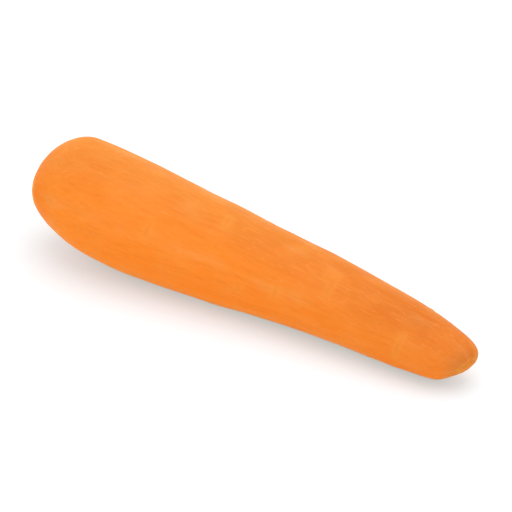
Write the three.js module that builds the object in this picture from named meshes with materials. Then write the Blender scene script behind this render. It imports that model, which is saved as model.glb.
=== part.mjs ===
// A peeled baby-cut carrot, lying on its side: one short tapered root with a domed thick end
// and a blunt, slanted tip.
// Units are millimetres. +X runs from the thick end to the tip, +Z is up, and the origin is
// at the bottom centre of the box round the carrot, on the surface that it lies on.

import * as THREE from "three";
import { mergeVertices } from "three/addons/utils/BufferGeometryUtils.js";

// Driving dimensions
const LENGTH = 54; // end to end along the root
const THICKNESS = 12.85; // across the untrimmed thick end, where the taper starts
const TIP_SHARE = 0.32; // the taper's last thickness, as a share of the first
const TAPER_END = 1.34; // where the taper would level out, in lengths from the thick end
const BOW = 1.5; // how far the middle of the root bends to the back

// The thick end: a dome that is fuller above and behind than below and in front
const FULL_SIDE = THREE.MathUtils.degToRad(36); // from straight up, towards the back
const DOME_SHORT = 4.6; // length of the rounding on the full side
const DOME_LONG = 16.4; // length of the rounding on the opposite side
const DOME_BLUNTNESS = 1.9; // 2 is an ellipse, more is squarer

// The tip: trimmed at a slant that faces down and to the front
const TIP_ROUND = 8.3; // length of the rounding
const TIP_BLUNTNESS = 5.1; // as for the dome
const TIP_SLANT = 0.54; // lean of the end, as a slope
const TIP_SLANT_REACH = 3.4; // how far back from the tip the lean is felt

// The cross-section: nearly round, with the soft flats that tumbling leaves
const OVAL = 0.012; // share by which it is wider than it is tall
const FLATS = [
  { lobes: 3, depth: 0.008, turn: 0.9, drift: 2.2 },
  { lobes: 5, depth: 0.005, turn: 2.4, drift: -3.1 },
];
// Low swells along the root, each strongest on one side
const SWELLS = [
  { waves: 1.25, height: 0.32, turn: 1.42, side: 0.5 },
  { waves: 2.7, height: 0.08, turn: 0.4, side: 3.4 },
  { waves: 4.4, height: 0.04, turn: 2.7, side: 1.9 },
];

// The lower side, where the carrot rests
const REST_STATIONS = [0.24, 0.8]; // shares of the length that touch the surface
const REST_PRESS = 0.3; // depth of the narrow flat that it lies on

// Facets of the solid
const AROUND = 44;
const ALONG = 58;

const skin = new THREE.MeshStandardMaterial({
  name: "carrot_flesh",
  color: new THREE.Color().setRGB(0.93, 0.28, 0.035),
  roughness: 0.5,
  metalness: 0,
});

// 0 at an end of the root, 1 from the given length on, round in between.
function dome(distance, length, bluntness) {
  const left = Math.max(0, 1 - distance / length);
  return Math.sqrt(1 - left ** bluntness);
}

// How much the thick end's rounding stretches on each side, from short to long.
function domeLength(around) {
  const away = (1 - Math.cos(around - FULL_SIDE)) / 2;
  return THREE.MathUtils.lerp(DOME_SHORT, DOME_LONG, away);
}

// The section's outline at a place along the root, as a share of its mean radius.
function sectionShare(share, around) {
  let sum = 1 - OVAL * Math.cos(2 * around);
  for (const { lobes, depth, turn, drift } of FLATS) {
    sum += depth * Math.cos(lobes * around + turn + drift * share);
  }
  return sum;
}

// How far the swells raise the surface there.
function swell(share, around) {
  let sum = 0;
  for (const { waves, height, turn, side } of SWELLS) {
    const nearness = (1 + Math.cos(around - side)) / 2;
    sum += height * nearness * Math.sin(2 * Math.PI * waves * share + turn);
  }
  return sum;
}

// Radius at a distance from the thick end and an angle from straight up towards the back.
function radiusAt(distance, around) {
  const share = distance / LENGTH;
  const taper = 1 - (1 - TIP_SHARE) * THREE.MathUtils.smoothstep(share, 0, TAPER_END);
  const ends =
    dome(distance, domeLength(around), DOME_BLUNTNESS) *
    dome(LENGTH - distance, TIP_ROUND, TIP_BLUNTNESS);
  const body = (THICKNESS / 2) * taper * sectionShare(share, around) + swell(share, around);
  return body * ends;
}

// How far the trimmed tip leans along the root at a point this far off its axis.
function tipLean(distance, radius, around) {
  const towardsFullSide = radius * Math.cos(around - FULL_SIDE);
  const nearness = THREE.MathUtils.smoothstep(distance, LENGTH - TIP_SLANT_REACH, LENGTH);
  return TIP_SLANT * nearness * towardsFullSide;
}

// A unit ball, each point of which keeps its place along and around and takes the root's radius.
function rootGeometry() {
  const ball = new THREE.SphereGeometry(1, AROUND, ALONG);
  const points = ball.getAttribute("position");
  for (let i = 0; i < points.count; i += 1) {
    const distance = (LENGTH * (1 + points.getY(i))) / 2;
    const around = Math.atan2(points.getZ(i), points.getX(i));
    const radius = radiusAt(distance, around);
    const bend = BOW * Math.sin((Math.PI * distance) / LENGTH);
    points.setXYZ(
      i,
      distance + tipLean(distance, radius, around),
      bend + radius * Math.sin(around),
      radius * Math.cos(around),
    );
  }
  ball.deleteAttribute("normal");
  ball.deleteAttribute("uv");
  return mergeVertices(ball);
}

// Tilts the root until the two resting stations are level underneath, and lowers it onto z = 0.
function layDown(root) {
  const [thick, thin] = REST_STATIONS.map((share) => share * LENGTH);
  const drop = radiusAt(thick, Math.PI) - radiusAt(thin, Math.PI);
  root.rotateY(Math.atan2(drop, thin - thick));
  root.computeBoundingBox();
  const { min, max } = root.boundingBox;
  root.translate(-(min.x + max.x) / 2, -(min.y + max.y) / 2, -min.z - REST_PRESS);
}

// Presses everything that is under the surface flat against it.
function pressFlat(root) {
  const points = root.getAttribute("position");
  for (let i = 0; i < points.count; i += 1) {
    points.setZ(i, Math.max(0, points.getZ(i)));
  }
}

const geometry = rootGeometry();
layDown(geometry);
pressFlat(geometry);
geometry.computeVertexNormals();

const carrot = new THREE.Mesh(geometry, skin);
carrot.name = "carrot";

const part = new THREE.Group();
part.add(carrot);

export default part;
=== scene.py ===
"""A peeled baby-cut carrot on a white table: its fine surface, its flesh, soft light and a camera.

The root's own sizes are in millimetres, and its mesh is made from them in metres. The camera, the
table and the lamp are in metres. Angles round the root are counted from straight up to the back.
"""

import math

import bpy
import numpy as np
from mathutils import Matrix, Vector


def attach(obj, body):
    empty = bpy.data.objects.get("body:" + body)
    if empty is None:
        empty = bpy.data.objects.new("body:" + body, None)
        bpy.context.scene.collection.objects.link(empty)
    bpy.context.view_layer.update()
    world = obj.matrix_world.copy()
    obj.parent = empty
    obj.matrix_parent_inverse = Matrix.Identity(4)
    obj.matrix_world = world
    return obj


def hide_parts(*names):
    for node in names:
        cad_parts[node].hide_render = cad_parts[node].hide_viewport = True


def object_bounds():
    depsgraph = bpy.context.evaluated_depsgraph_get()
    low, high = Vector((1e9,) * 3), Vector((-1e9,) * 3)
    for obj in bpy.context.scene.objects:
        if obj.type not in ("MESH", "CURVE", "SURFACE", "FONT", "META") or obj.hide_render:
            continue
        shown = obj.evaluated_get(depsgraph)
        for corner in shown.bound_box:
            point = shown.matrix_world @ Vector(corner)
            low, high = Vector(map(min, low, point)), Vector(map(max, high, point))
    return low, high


MM = 0.001

# Driving dimensions of the root
LENGTH = 54.0  # end to end along the root
THICKNESS = 12.85  # across the untrimmed thick end, where the taper starts
TIP_SHARE = 0.32  # the taper's last thickness, as a share of the first
TAPER_END = 1.34  # where the taper would level out, in lengths from the thick end
BOW = 1.5  # how far the middle of the root bends to the back

# The thick end: a dome that is fuller above and behind than below and in front
FULL_SIDE = math.radians(36)  # the middle of the full side
DOME_SHORT = 4.6  # length of the rounding on the full side
DOME_LONG = 16.4  # length of the rounding on the opposite side
DOME_BLUNTNESS = 1.9  # 2 is an ellipse, more is squarer

# The tip: trimmed at a slant that faces down and to the front
TIP_ROUND = 8.3  # length of the rounding
TIP_BLUNTNESS = 5.1  # as for the dome
TIP_SLANT = 0.54  # lean of the end, as a slope
TIP_SLANT_REACH = 3.4  # how far back from the tip the lean is felt

# The cross-section: nearly round, with soft flats
OVAL = 0.012  # share by which it is wider than it is tall
FLATS = [
    {"lobes": 3, "depth": 0.008, "turn": 0.9, "drift": 2.2},
    {"lobes": 5, "depth": 0.005, "turn": 2.4, "drift": -3.1},
]
# Low swells along the root, each strongest on one side
SWELLS = [
    {"waves": 1.25, "height": 0.32, "turn": 1.42, "side": 0.5},
    {"waves": 2.7, "height": 0.08, "turn": 0.4, "side": 3.4},
    {"waves": 4.4, "height": 0.04, "turn": 2.7, "side": 1.9},
]

# The lower side, where the carrot rests
REST_STATIONS = (0.24, 0.8)  # shares of the length that touch the table
REST_PRESS = 0.3  # depth of the narrow flat that it lies on

# The mesh
AROUND = 208
ALONG = 468
PROFILE_STEPS = 4000  # steps of the profile that the mesh's rows are spaced along
SEED = 20

# Long soft facets left by peeling: how many there are round the root, and their height
PEEL_FACETS = [(8, 0.020), (11, 0.014), (15, 0.009)]
PEEL_MEAN = 0.6  # mean share of that height along the root
PEEL_SWING = 0.4  # how far the share rises and falls
PEEL_WAVES = 1.3  # how often it does so

# Unevenness of the flesh: waves in every direction
LUMP_WAVES = 14
LUMP_LENGTHS = (3.0, 7.0)
LUMP_HEIGHT = 0.005
RIDGE_HEIGHT = 0.06  # height over the smooth surface at which the flesh is rubbed and dry

# Scars of the side roots, which stand in ranks along a carrot
SCAR_RANKS = 4
SCARS_PER_RANK = 11
SCAR_RANK_TURN = 0.55  # angle of the first rank
SCAR_RANK_SPREAD = 0.30  # how far scars stray from their rank, as an angle
SCAR_SPAN = (4.0, 50.0)  # the stretch of the root that has them
SCAR_LENGTHS = (0.8, 3.6)
SCAR_WIDTHS = (0.17, 0.28)
SCAR_DEPTHS = (0.01, 0.06)
SCAR_TILT = 0.18  # the most that a scar slopes along the root
LIP_HEIGHT = 0.4  # of the raised lips beside a scar, as a share of its depth
LIP_PLACE = 1.7  # where the lips stand, in scar widths from its middle
# The pale rim is partly the scar's own colour and partly painted light on its raised lips
HALO_WIDTH = 2.6  # of the pale rim round a scar, in scar widths
HALO_LENGTH = 1.25  # of that rim, in scar lengths

# Small dents
PITS = 70
PIT_WIDTHS = (0.25, 0.6)
PIT_DEPTHS = (0.012, 0.04)

# The cut ends show the core, the ring round it and rays outside that, as shares of the radius
CORE_SHARE = 0.40
CORE_EDGE = 0.06  # half the width over which the core fades
CORE_WAVES = [(5, 0.030, 0.7), (9, 0.018, 2.1)]  # waves of its edge: count, height and turn
RING_WIDTH = 0.05
RING_DEPTH = 0.015  # in millimetres
CUT_SHARE = 0.93  # where the cut face's colour starts
TIP_MARK_SHARE = 0.35  # strength of the core and ring at the tip, where the core is thin

# Flesh colours, in linear light
FLESH = (0.910, 0.263, 0.027)
# Painted shade: duller and less red above, to offset the lamp overhead, which lights the top most
FLESH_PAINTED_SHADE_ABOVE = (0.745, 0.230, 0.035)
# Painted light: a brighter, deeper red below, where less light reaches
FLESH_PAINTED_LIGHT_BELOW = (0.980, 0.233, 0.015)
# Darker and duller towards the tip, most on its upper side
FLESH_TIP = (0.655, 0.174, 0.025)
FLESH_DEEP = (0.740, 0.165, 0.009)
FLESH_PALE = (0.900, 0.302, 0.056)
CUT_COLOUR = (0.820, 0.162, 0.005)
CUT_TIP_COLOUR = (0.600, 0.168, 0.024)
CORE_COLOUR = (0.880, 0.355, 0.038)
RING_COLOUR = (0.900, 0.430, 0.085)
# Partly the scars' own colour and partly painted shade in their grooves
SCAR_AND_GROOVE_SHADE_COLOUR = (0.740, 0.145, 0.006)
BLOOM_COLOUR = (0.850, 0.430, 0.160)
# Round the root, the painted shade is strongest on the upper side and the painted light on the lower
# side
UPPER_TURN = math.radians(15)  # the middle of the upper side
TIP_TONE_START = 0.3  # where the tip's tone starts, as a share of the length

# Patterns in the flesh: their features a millimetre, along the root and twice across it
GRAIN_RADIUS = 5.0  # the radius that they are laid out on
MOTTLE = {"stretch": (0.16, 0.22, 0.22)}
STREAKS = {"stretch": (0.035, 0.9, 0.9), "detail": 4.0}
FIBRES = {"stretch": (0.45, 3.8, 3.8), "detail": 4.0}
FLECKS = {"stretch": (1.1, 5.0, 5.0)}
BLOOM = {"stretch": (0.11, 0.30, 0.30), "detail": 5.0, "roughness": 0.65}
STRANDS = {"stretch": (0.5, 2.0, 2.0), "detail": 2.0}
RELIEF_FIBRES = {"stretch": (0.25, 5.0, 5.0)}
RELIEF_CELLS = {"stretch": (5.0, 7.0, 7.0), "detail": 2.0}
# Rays depend on the direction from the axis alone, which is a unit long
ACROSS = (0.0, 1.0, 1.0)
RAYS = {"stretch": (0.0, 9.0, 9.0), "detail": 2.0}

# How strongly each thing shows: the values it rises between, and where given, its share at either
# The next two set the painted shade above and the painted light below
PAINTED_SHADE_ABOVE_SHOWS = (0.60, 1.0)
PAINTED_LIGHT_BELOW_SHOWS = (0.62, 0.1)
DULLNESS_SHOWS = (0.4, 1.0, 0.3, 1.0)
MOTTLE_SHOWS = (0.42, 0.68, 0.0, 0.30)
STREAKS_SHOW = (0.40, 0.66, 0.0, 0.16)
PALE_FIBRES_SHOW = (0.50, 0.70, 0.0, 0.25)
DEEP_FIBRES_SHOW = (0.48, 0.32, 0.0, 0.25)
FLECKS_SHOW = (0.58, 0.72, 0.0, 0.22)
RAYS_SHOW = (0.45, 0.62, 0.0, 0.3)
CORE_SHOWS = (0.36, 0.64, 0.30, 0.80)
RING_SHOWS = (0.36, 0.60, 0.10, 0.50)
BLOOM_SHOWS = (0.35, 0.65, 0.02, 0.22)
CUT_STRENGTH = 0.75
# Scar rims and lines: partly their own colour, partly painted light on the lips and painted shade in
# the grooves
HALO_AND_LIP_LIGHT_STRENGTH = 0.30
SCAR_AND_GROOVE_SHADE_STRENGTH = 0.40

# Gloss, relief and scattering of light in the flesh
FLESH_ROUGHNESS = (0.30, 0.75, 0.46, 0.62)  # two values of the bloom, and the roughness at either
FLESH_IOR = 1.36
FLESH_SPECULAR = 0.05
RELIEF_STRENGTH = 0.6
RELIEF_HEIGHT = 0.06 * MM
CELL_SHARE = 0.6  # height of the cells in the relief, as a share of the fibres'
SCATTER_WEIGHT = 0.6
SCATTER_RADIUS = (1.0, 0.35, 0.12)
SCATTER_SCALE = 0.5 * MM

# Camera, at the photograph's viewing angle, and the width that its frame shows at the carrot
AZIMUTH = math.radians(33)
ELEVATION = math.radians(33)
DISTANCE = 0.6
FRAME_WIDTH = 0.0535

# Table: white where it is lit, with a tint and a glow that keep the carrot's shadow from turning orange
FLOOR_SIZE = 4.0
FLOOR_GAP = 0.02 * MM
FLOOR_COLOUR = (0.73, 0.582, 0.57)
FLOOR_GLOW = (0.152, 0.380, 0.408)
FLOOR_GLOW_STRENGTH = 1.0
FLOOR_ROUGHNESS = 0.9
FLOOR_SPECULAR = 0.1

# Light: a white surrounding and one large lamp overhead
WORLD_COLOUR = (1.0, 1.0, 1.0)
WORLD_STRENGTH = 1.0
KEY_PLACE = (0.15, 0.1, 1.9)
KEY_SIZE = 2.0
KEY_POWER = 13.0


def smoothstep(value, low, high):
    """0 up to low, 1 from high on, smooth in between."""
    share = np.clip((value - low) / (high - low), 0, 1)
    return share * share * (3 - 2 * share)


def dome(distance, length, bluntness):
    """0 at an end of the root, 1 from the given length on, round in between."""
    left = np.clip(1 - distance / length, 0, 1)
    return np.sqrt(1 - left**bluntness)


def end_share(distance, around):
    """The radius there as a share of what it would be with neither end rounded."""
    away = (1 - np.cos(around - FULL_SIDE)) / 2
    dome_length = DOME_SHORT + (DOME_LONG - DOME_SHORT) * away
    thick_end = dome(distance, dome_length, DOME_BLUNTNESS)
    return thick_end * dome(LENGTH - distance, TIP_ROUND, TIP_BLUNTNESS)


def body_radius(distance, around):
    """Radius with neither end rounded, at a distance from the thick end."""
    share = distance / LENGTH
    taper = 1 - (1 - TIP_SHARE) * smoothstep(share, 0, TAPER_END)
    section = 1 - OVAL * np.cos(2 * around)
    for flat in FLATS:
        phase = flat["lobes"] * around + flat["turn"] + flat["drift"] * share
        section = section + flat["depth"] * np.cos(phase)
    radius = THICKNESS / 2 * taper * section
    for swell in SWELLS:
        nearness = (1 + np.cos(around - swell["side"])) / 2
        wave = np.sin(2 * np.pi * swell["waves"] * share + swell["turn"])
        radius = radius + swell["height"] * nearness * wave
    return radius


def rest_tilt():
    """The turn about +Y that brings the two resting stations level."""
    thick, thin = (share * LENGTH for share in REST_STATIONS)
    below = [body_radius(at, np.pi) * end_share(at, np.pi) for at in (thick, thin)]
    return math.atan2(below[0] - below[1], thin - thick)


def surface_points(distance, around):
    """The smooth surface of the carrot, tilted as it lies but not yet set down on the table."""
    radius = body_radius(distance, around) * end_share(distance, around)
    at_tip = smoothstep(distance, LENGTH - TIP_SLANT_REACH, LENGTH)
    x = distance + TIP_SLANT * at_tip * radius * np.cos(around - FULL_SIDE)
    y = BOW * np.sin(np.pi * distance / LENGTH) + radius * np.sin(around)
    z = radius * np.cos(around)
    tilt = rest_tilt()
    level_x = x * math.cos(tilt) + z * math.sin(tilt)
    level_z = z * math.cos(tilt) - x * math.sin(tilt)
    return np.stack([level_x, y, level_z], axis=-1)


def surface_grid():
    """Distances and angles of the mesh's points, in rows that are even along the surface."""
    fine = LENGTH * (1 - np.cos(np.linspace(0, np.pi, PROFILE_STEPS))) / 2
    profile = body_radius(fine, FULL_SIDE) * end_share(fine, FULL_SIDE)
    steps = np.hypot(np.diff(fine), np.diff(profile))
    walked = np.concatenate([[0], np.cumsum(steps)])
    rows = np.interp(np.linspace(0, walked[-1], ALONG + 1), walked, fine)
    angles = np.linspace(-np.pi, np.pi, AROUND, endpoint=False)
    return np.meshgrid(rows, angles, indexing="ij")


def grid_normals(points):
    """Outward normals of a grid whose rows close on themselves and whose end rows are points."""
    along = np.gradient(points, axis=0)
    across = np.roll(points, -1, axis=1) - np.roll(points, 1, axis=1)
    normals = np.cross(across, along)
    normals[0] = normals[1].mean(axis=0)
    normals[-1] = normals[-2].mean(axis=0)
    return normals / np.linalg.norm(normals, axis=-1, keepdims=True)


def angle_from(around, centre):
    """The signed angle from centre, on the short way round."""
    return (around - centre + np.pi) % (2 * np.pi) - np.pi


def peel_facets(distance, around, rng):
    """Height of the long facets, each of which comes and goes along the root."""
    share = distance / LENGTH
    height = np.zeros_like(distance)
    for count, depth in PEEL_FACETS:
        turn, drift, fade_turn = rng.uniform(-np.pi, np.pi, 3)
        fade = PEEL_MEAN + PEEL_SWING * np.sin(2 * np.pi * PEEL_WAVES * share + fade_turn)
        height += depth * fade * np.cos(count * around + turn + drift * share)
    return height


def lumps(points, rng):
    """Height of the flesh's unevenness: waves that run in every direction."""
    height = np.zeros(points.shape[:2])
    for _ in range(LUMP_WAVES):
        direction = rng.normal(size=3)
        direction /= np.linalg.norm(direction)
        turns = 2 * np.pi / rng.uniform(*LUMP_LENGTHS)
        height += LUMP_HEIGHT * np.sin(turns * points @ direction + rng.uniform(0, 2 * np.pi))
    return height


def scars(distance, around, radius, rng):
    """Height of the side roots' scars, and how strongly their lines and pale rims mark each point. The
    lines are partly painted shade in the grooves, and the rims partly painted light on the raised lips.
    """
    height = np.zeros_like(distance)
    line = np.zeros_like(distance)
    halo_and_lip_light = np.zeros_like(distance)
    spacing = (SCAR_SPAN[1] - SCAR_SPAN[0]) / SCARS_PER_RANK
    for rank in range(SCAR_RANKS):
        rank_angle = SCAR_RANK_TURN + rank * 2 * np.pi / SCAR_RANKS
        for step in range(SCARS_PER_RANK):
            centre = SCAR_SPAN[0] + (step + rng.uniform(0, 1)) * spacing
            angle = rank_angle + rng.normal(0, SCAR_RANK_SPREAD)
            half = rng.uniform(*SCAR_LENGTHS) / 2
            width = rng.uniform(*SCAR_WIDTHS)
            depth = rng.uniform(*SCAR_DEPTHS)
            tilt = rng.uniform(-SCAR_TILT, SCAR_TILT)
            across = angle_from(around, angle) * radius
            along = (distance - centre - tilt * across) / width
            ends = np.clip(1 - (across / half) ** 2, 0, 1) ** 2
            groove = np.exp(-(along**2)) * ends
            lips = np.exp(-((np.abs(along) - LIP_PLACE) ** 2)) * ends
            height += depth * (LIP_HEIGHT * lips - groove)
            rim_ends = np.clip(1 - (across / half / HALO_LENGTH) ** 2, 0, 1)
            rim = np.exp(-((along / HALO_WIDTH) ** 2)) * rim_ends
            strength = (depth / SCAR_DEPTHS[1]) ** 2
            line = np.maximum(line, groove * strength)
            halo_and_lip_light = np.maximum(halo_and_lip_light, rim * strength)
    return height, line, halo_and_lip_light


def pits(points, rng):
    """Height of the small dents, which are placed on the grid's own points."""
    height = np.zeros(points.shape[:2])
    flat = points.reshape(-1, 3)
    for index in rng.choice(len(flat), PITS, replace=False):
        width = rng.uniform(*PIT_WIDTHS)
        apart = np.linalg.norm(points - flat[index], axis=-1) / width
        height -= rng.uniform(*PIT_DEPTHS) * np.exp(-(apart**2))
    return height


def core_edge(around):
    """Where the core ends, as a share of the radius: a wavy, rounded star."""
    edge = np.full_like(around, CORE_SHARE)
    for waves, height, turn in CORE_WAVES:
        edge += height * np.cos(waves * around + turn)
    return edge


def carrot_surface():
    """Points of the fine surface as it lies, their places in the grain, and the marks on them."""
    rng = np.random.default_rng(SEED)
    distance, around = surface_grid()
    share = end_share(distance, around)
    smooth = surface_points(distance, around)
    radius = body_radius(distance, around)

    scar_height, scar_line_and_groove_shade, scar_halo_and_lip_light = scars(distance, around, radius, rng)
    past_core = share - core_edge(around)
    ring = np.exp(-((past_core / RING_WIDTH) ** 2))
    uneven = peel_facets(distance, around, rng) * share + lumps(smooth, rng)
    height = uneven + scar_height + pits(smooth, rng) - RING_DEPTH * ring
    points = smooth + grid_normals(smooth) * height[..., None]
    points[0] = points[0].mean(axis=0)
    points[-1] = points[-1].mean(axis=0)

    low, high = smooth.min(axis=(0, 1)), smooth.max(axis=(0, 1))
    middle = (low + high) / 2
    points -= (middle[0], middle[1], low[2] + REST_PRESS)
    points[..., 2] = np.maximum(points[..., 2], 0)

    off_axis = GRAIN_RADIUS * share
    grain = np.stack([distance, off_axis * np.cos(around), off_axis * np.sin(around)], axis=-1)
    mark_share = 1 - (1 - TIP_MARK_SHARE) * smoothstep(distance, 0, LENGTH)
    marks = {
        "ridge": smoothstep(uneven, 0, RIDGE_HEIGHT),
        # scar lines and rims: partly their own colour, partly painted shade in the grooves and painted
        # light on the lips
        "scar_and_groove_shade": scar_line_and_groove_shade,
        "halo_and_lip_light": scar_halo_and_lip_light,
        "core": mark_share * (1 - smoothstep(past_core, -CORE_EDGE, CORE_EDGE)),
        "ring": mark_share * ring,
        "cut": 1 - smoothstep(share, CORE_SHARE, CUT_SHARE),
        # how far up a point is, which sets the painted shade above and the painted light below
        "upper": (1 + np.cos(around - UPPER_TURN)) / 2,
    }
    return points, grain, marks


def grid_faces():
    """Faces of the closed grid: quads, and triangles round the two end points."""
    start = np.arange(AROUND)
    pairs = list(zip(start, (start + 1) % AROUND))
    first, last = 0, 1 + (ALONG - 1) * AROUND
    faces = [(first, 1 + a, 1 + b) for a, b in pairs]
    for row in range(ALONG - 2):
        base = 1 + row * AROUND
        below = base + AROUND
        faces += [(base + a, below + a, below + b, base + b) for a, b in pairs]
    base = 1 + (ALONG - 2) * AROUND
    faces += [(base + a, last, base + b) for a, b in pairs]
    return faces


def unrolled_places():
    """Texture places of the faces' corners: the surface unrolled, with its seam underneath."""
    left = np.arange(AROUND)
    middle, right = left + 0.5, left + 1
    rows = [np.full(AROUND, row) for row in range(ALONG + 1)]
    strips = [((middle, rows[0]), (left, rows[1]), (right, rows[1]))]
    for row in range(1, ALONG - 1):
        above, below = rows[row], rows[row + 1]
        strips.append(((left, above), (left, below), (right, below), (right, above)))
    strips.append(((left, rows[-2]), (middle, rows[-1]), (right, rows[-2])))
    places = []
    for strip in strips:
        corners = [np.stack(corner, axis=-1) for corner in strip]
        places.append(np.stack(corners, axis=1).reshape(-1, 2))
    return np.concatenate(places) / (AROUND, ALONG)


def ring_values(grid):
    """A grid's values with one for each end point, in the mesh's order."""
    inner = grid[1:-1].reshape(-1, *grid.shape[2:])
    return np.concatenate([grid[:1, 0], inner, grid[-1:, 0]])


def carrot_piece(material):
    """The carrot's mesh, with what its material reads stored on its points."""
    points, grain, marks = carrot_surface()
    mesh = bpy.data.meshes.new("carrot_root")
    mesh.from_pydata(ring_values(points * MM).tolist(), [], grid_faces())
    unrolled = mesh.uv_layers.new(name="OFBake")
    unrolled.data.foreach_set("uv", unrolled_places().astype(np.float32).ravel())
    grain_layer = mesh.attributes.new("grain", "FLOAT_VECTOR", "POINT")
    grain_layer.data.foreach_set("vector", ring_values(grain).astype(np.float32).ravel())
    for name, grid in marks.items():
        layer = mesh.attributes.new(name, "FLOAT", "POINT")
        layer.data.foreach_set("value", ring_values(grid).astype(np.float32))
    mesh.shade_smooth()
    mesh.materials.append(material)
    mesh.validate()
    piece = bpy.data.objects.new("carrot_root", mesh)
    bpy.context.scene.collection.objects.link(piece)
    return piece


class Nodes:
    """Short ways to add the nodes of one material."""

    # The colour mix node's sockets by place, because several of them have the same name
    MIX_INPUTS = (0, 6, 7)
    MIX_OUTPUT = 2

    def __init__(self, material):
        material.use_nodes = True
        self.tree = material.node_tree
        self.shader = self.tree.nodes["Principled BSDF"]

    def add(self, kind, **settings):
        node = self.tree.nodes.new(kind)
        for name, value in settings.items():
            setattr(node, name, value)
        return node

    def feed(self, socket, value):
        """Sets a socket to a number or colour, or links it to another node's output."""
        if isinstance(value, bpy.types.NodeSocket):
            self.tree.links.new(value, socket)
        else:
            socket.default_value = value

    def set_shader(self, **inputs):
        """Feeds the shader's own sockets, whose names are written with underscores."""
        for name, value in inputs.items():
            self.feed(self.shader.inputs[name.replace("_", " ")], value)

    def attribute(self, name, output="Fac"):
        return self.add("ShaderNodeAttribute", attribute_name=name).outputs[output]

    def noise(self, place, stretch, detail=3.0, roughness=0.55):
        """Noise with this many features a unit of each axis."""
        texture = self.add("ShaderNodeTexNoise")
        self.feed(texture.inputs["Vector"], self.vector_math("MULTIPLY", place, stretch))
        self.feed(texture.inputs["Scale"], 1.0)
        self.feed(texture.inputs["Detail"], detail)
        self.feed(texture.inputs["Roughness"], roughness)
        return texture.outputs["Fac"]

    def span(self, value, low, high, to_low=0.0, to_high=1.0):
        """Goes smoothly from to_low to to_high as the value goes from low to high."""
        node = self.add("ShaderNodeMapRange", interpolation_type="SMOOTHSTEP")
        self.feed(node.inputs["Value"], value)
        self.feed(node.inputs["From Min"], low)
        self.feed(node.inputs["From Max"], high)
        self.feed(node.inputs["To Min"], to_low)
        self.feed(node.inputs["To Max"], to_high)
        return node.outputs["Result"]

    def math(self, operation, *values):
        return self.calculate("ShaderNodeMath", operation, values)

    def vector_math(self, operation, *values):
        return self.calculate("ShaderNodeVectorMath", operation, values)

    def calculate(self, kind, operation, values):
        node = self.add(kind, operation=operation)
        for socket, value in zip(node.inputs, values):
            self.feed(socket, value)
        return node.outputs[0]

    def mix(self, share, first, second):
        """Goes from the first colour to the second by the share."""
        node = self.add("ShaderNodeMix", data_type="RGBA")
        for socket, value in zip(self.MIX_INPUTS, (share, first, second)):
            is_colour = isinstance(value, tuple)
            self.feed(node.inputs[socket], (*value, 1.0) if is_colour else value)
        return node.outputs[self.MIX_OUTPUT]

    def paint(self, colour, layers):
        """Lays colours over the first one in turn, each by its own share."""
        for share, layer in layers:
            colour = self.mix(share, colour, layer)
        return colour


def tip_share(nodes, place):
    """0 on the thick third, 1 at the tip."""
    along = nodes.add("ShaderNodeSeparateXYZ")
    nodes.feed(along.inputs[0], place)
    return nodes.span(along.outputs["X"], TIP_TONE_START * LENGTH, LENGTH)


def flesh_colour(nodes, place, to_tip):
    """Orange flesh with painted shade above, painted light below and a darker tone towards the tip,
    mottled, streaked and flecked.
    """
    upper = nodes.attribute("upper")
    mottle = nodes.noise(place, **MOTTLE)
    streaks = nodes.noise(place, **STREAKS)
    fibres = nodes.noise(place, **FIBRES)
    flecks = nodes.noise(place, **FLECKS)
    layers = [
        # painted shade on the upper side, painted light on the lower side
        (nodes.span(upper, *PAINTED_SHADE_ABOVE_SHOWS), FLESH_PAINTED_SHADE_ABOVE),
        (nodes.span(upper, *PAINTED_LIGHT_BELOW_SHOWS), FLESH_PAINTED_LIGHT_BELOW),
        # darker and duller towards the tip, most on its upper side
        (nodes.math("MULTIPLY", to_tip, nodes.span(upper, *DULLNESS_SHOWS)), FLESH_TIP),
        (nodes.span(mottle, *MOTTLE_SHOWS), FLESH_PALE),
        (nodes.span(streaks, *STREAKS_SHOW), FLESH_DEEP),
        (nodes.span(fibres, *PALE_FIBRES_SHOW), FLESH_PALE),
        (nodes.span(fibres, *DEEP_FIBRES_SHOW), FLESH_DEEP),
        (nodes.span(flecks, *FLECKS_SHOW), BLOOM_COLOUR),
    ]
    return nodes.paint(FLESH, layers)


def end_layers(nodes, place, to_tip):
    """What the cut ends show over the flesh: rays, the core and the ring with its strands."""
    direction = nodes.vector_math("NORMALIZE", nodes.vector_math("MULTIPLY", place, ACROSS))
    rays = nodes.noise(direction, **RAYS)
    strands = nodes.noise(place, **STRANDS)
    cut = nodes.attribute("cut")
    core = nodes.attribute("core")
    ring = nodes.attribute("ring")
    cut_colour = nodes.mix(to_tip, CUT_COLOUR, CUT_TIP_COLOUR)
    return [
        (nodes.math("MULTIPLY", cut, CUT_STRENGTH), cut_colour),
        (nodes.math("MULTIPLY", cut, nodes.span(rays, *RAYS_SHOW)), FLESH_PALE),
        (nodes.math("MULTIPLY", core, nodes.span(rays, *CORE_SHOWS)), CORE_COLOUR),
        (nodes.math("MULTIPLY", ring, nodes.span(strands, *RING_SHOWS)), RING_COLOUR),
    ]


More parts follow.
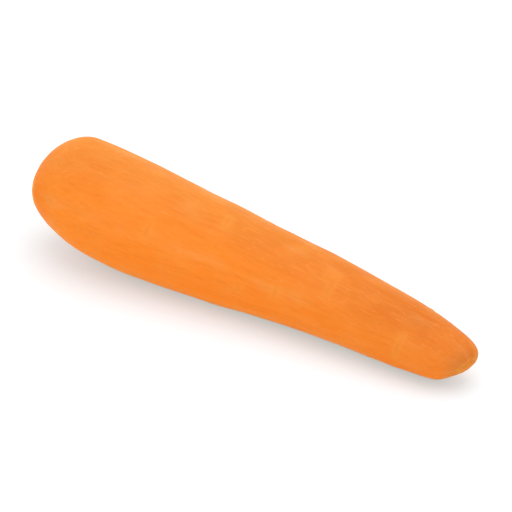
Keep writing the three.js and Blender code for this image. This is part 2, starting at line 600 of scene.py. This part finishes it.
def wear_scar_light_and_shade_layers(nodes, bloom):
    """Dry bloom on the ridges, and the side roots' scars: a pale rim round a darker line, partly their
    own colours and partly painted light on the lips and painted shade in the groove.
    """
    dry = nodes.math("MULTIPLY", nodes.attribute("ridge"), nodes.span(bloom, *BLOOM_SHOWS))
    return [
        (dry, BLOOM_COLOUR),
        # scar rims and lines, partly painted light on the lips and painted shade in the grooves
        (nodes.math("MULTIPLY", nodes.attribute("halo_and_lip_light"), HALO_AND_LIP_LIGHT_STRENGTH), RING_COLOUR),
        (nodes.math("MULTIPLY", nodes.attribute("scar_and_groove_shade"), SCAR_AND_GROOVE_SHADE_STRENGTH), SCAR_AND_GROOVE_SHADE_COLOUR),
    ]


def flesh_relief(nodes, place):
    """Normals of the finest relief: fibres along the root, and cells."""
    fibres = nodes.noise(place, **RELIEF_FIBRES)
    cells = nodes.math("MULTIPLY", nodes.noise(place, **RELIEF_CELLS), CELL_SHARE)
    bump = nodes.add("ShaderNodeBump")
    nodes.feed(bump.inputs["Strength"], RELIEF_STRENGTH)
    nodes.feed(bump.inputs["Distance"], RELIEF_HEIGHT)
    nodes.feed(bump.inputs["Height"], nodes.math("ADD", fibres, cells))
    return bump.outputs["Normal"]


def flesh_material():
    """Peeled carrot flesh, which scatters light and has little gloss."""
    material = bpy.data.materials.new("carrot_flesh")
    nodes = Nodes(material)
    place = nodes.attribute("grain", "Vector")
    bloom = nodes.noise(place, **BLOOM)
    to_tip = tip_share(nodes, place)
    colour = flesh_colour(nodes, place, to_tip)
    colour = nodes.paint(colour, end_layers(nodes, place, to_tip))
    colour = nodes.paint(colour, wear_scar_light_and_shade_layers(nodes, bloom))
    nodes.set_shader(
        Base_Color=colour,
        Roughness=nodes.span(bloom, *FLESH_ROUGHNESS),
        IOR=FLESH_IOR,
        Specular_IOR_Level=FLESH_SPECULAR,
        Subsurface_Weight=SCATTER_WEIGHT,
        Subsurface_Radius=SCATTER_RADIUS,
        Subsurface_Scale=SCATTER_SCALE,
        Normal=flesh_relief(nodes, place),
    )
    return material


def table():
    """A plain white surface just under the carrot."""
    half = FLOOR_SIZE / 2
    corners = [(-half, -half), (half, -half), (half, half), (-half, half)]
    mesh = bpy.data.meshes.new("table")
    mesh.from_pydata([(x, y, -FLOOR_GAP) for x, y in corners], [], [(0, 1, 2, 3)])
    material = bpy.data.materials.new("table_white")
    Nodes(material).set_shader(
        Base_Color=(*FLOOR_COLOUR, 1.0),
        Roughness=FLOOR_ROUGHNESS,
        Specular_IOR_Level=FLOOR_SPECULAR,
        Emission_Color=(*FLOOR_GLOW, 1.0),
        Emission_Strength=FLOOR_GLOW_STRENGTH,
    )
    mesh.materials.append(material)
    floor = bpy.data.objects.new("table", mesh)
    bpy.context.scene.collection.objects.link(floor)
    return floor


def light(target):
    """White light from all round, and a lamp that faces the target."""
    world = bpy.data.worlds.new("studio")
    world.use_nodes = True
    background = world.node_tree.nodes["Background"]
    background.inputs["Color"].default_value = (*WORLD_COLOUR, 1.0)
    background.inputs["Strength"].default_value = WORLD_STRENGTH
    bpy.context.scene.world = world

    lamp = bpy.data.lights.new("key", "AREA")
    lamp.shape = "DISK"
    lamp.size = KEY_SIZE
    lamp.energy = KEY_POWER
    key = bpy.data.objects.new("key", lamp)
    key.location = KEY_PLACE
    key.rotation_mode = "QUATERNION"
    key.rotation_quaternion = (target - key.location).to_track_quat("-Z", "Y")
    bpy.context.scene.collection.objects.link(key)


def camera(target):
    """The camera, with the target in the middle of its frame."""
    level = math.cos(ELEVATION)
    back = Vector((math.sin(AZIMUTH) * level, -math.cos(AZIMUTH) * level, math.sin(ELEVATION)))
    data = bpy.data.cameras.new("camera")
    data.lens = data.sensor_width * DISTANCE / FRAME_WIDTH
    eye = bpy.data.objects.new("camera", data)
    eye.location = target + back * DISTANCE
    eye.rotation_mode = "QUATERNION"
    eye.rotation_quaternion = (-back).to_track_quat("-Z", "Y")
    bpy.context.scene.collection.objects.link(eye)
    bpy.context.scene.camera = eye


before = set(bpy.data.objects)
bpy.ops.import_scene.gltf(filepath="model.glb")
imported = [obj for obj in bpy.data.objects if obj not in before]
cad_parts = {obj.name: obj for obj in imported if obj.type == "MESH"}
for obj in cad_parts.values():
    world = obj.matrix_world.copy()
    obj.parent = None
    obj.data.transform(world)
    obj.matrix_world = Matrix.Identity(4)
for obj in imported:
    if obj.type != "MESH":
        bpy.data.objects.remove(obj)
cad_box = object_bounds()
centre = (cad_box[0] + cad_box[1]) / 2

bpy.context.scene.view_settings.view_transform = "Standard"
carrot = carrot_piece(flesh_material())
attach(carrot, "root")
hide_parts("carrot")
table()
light(centre)
camera(centre)
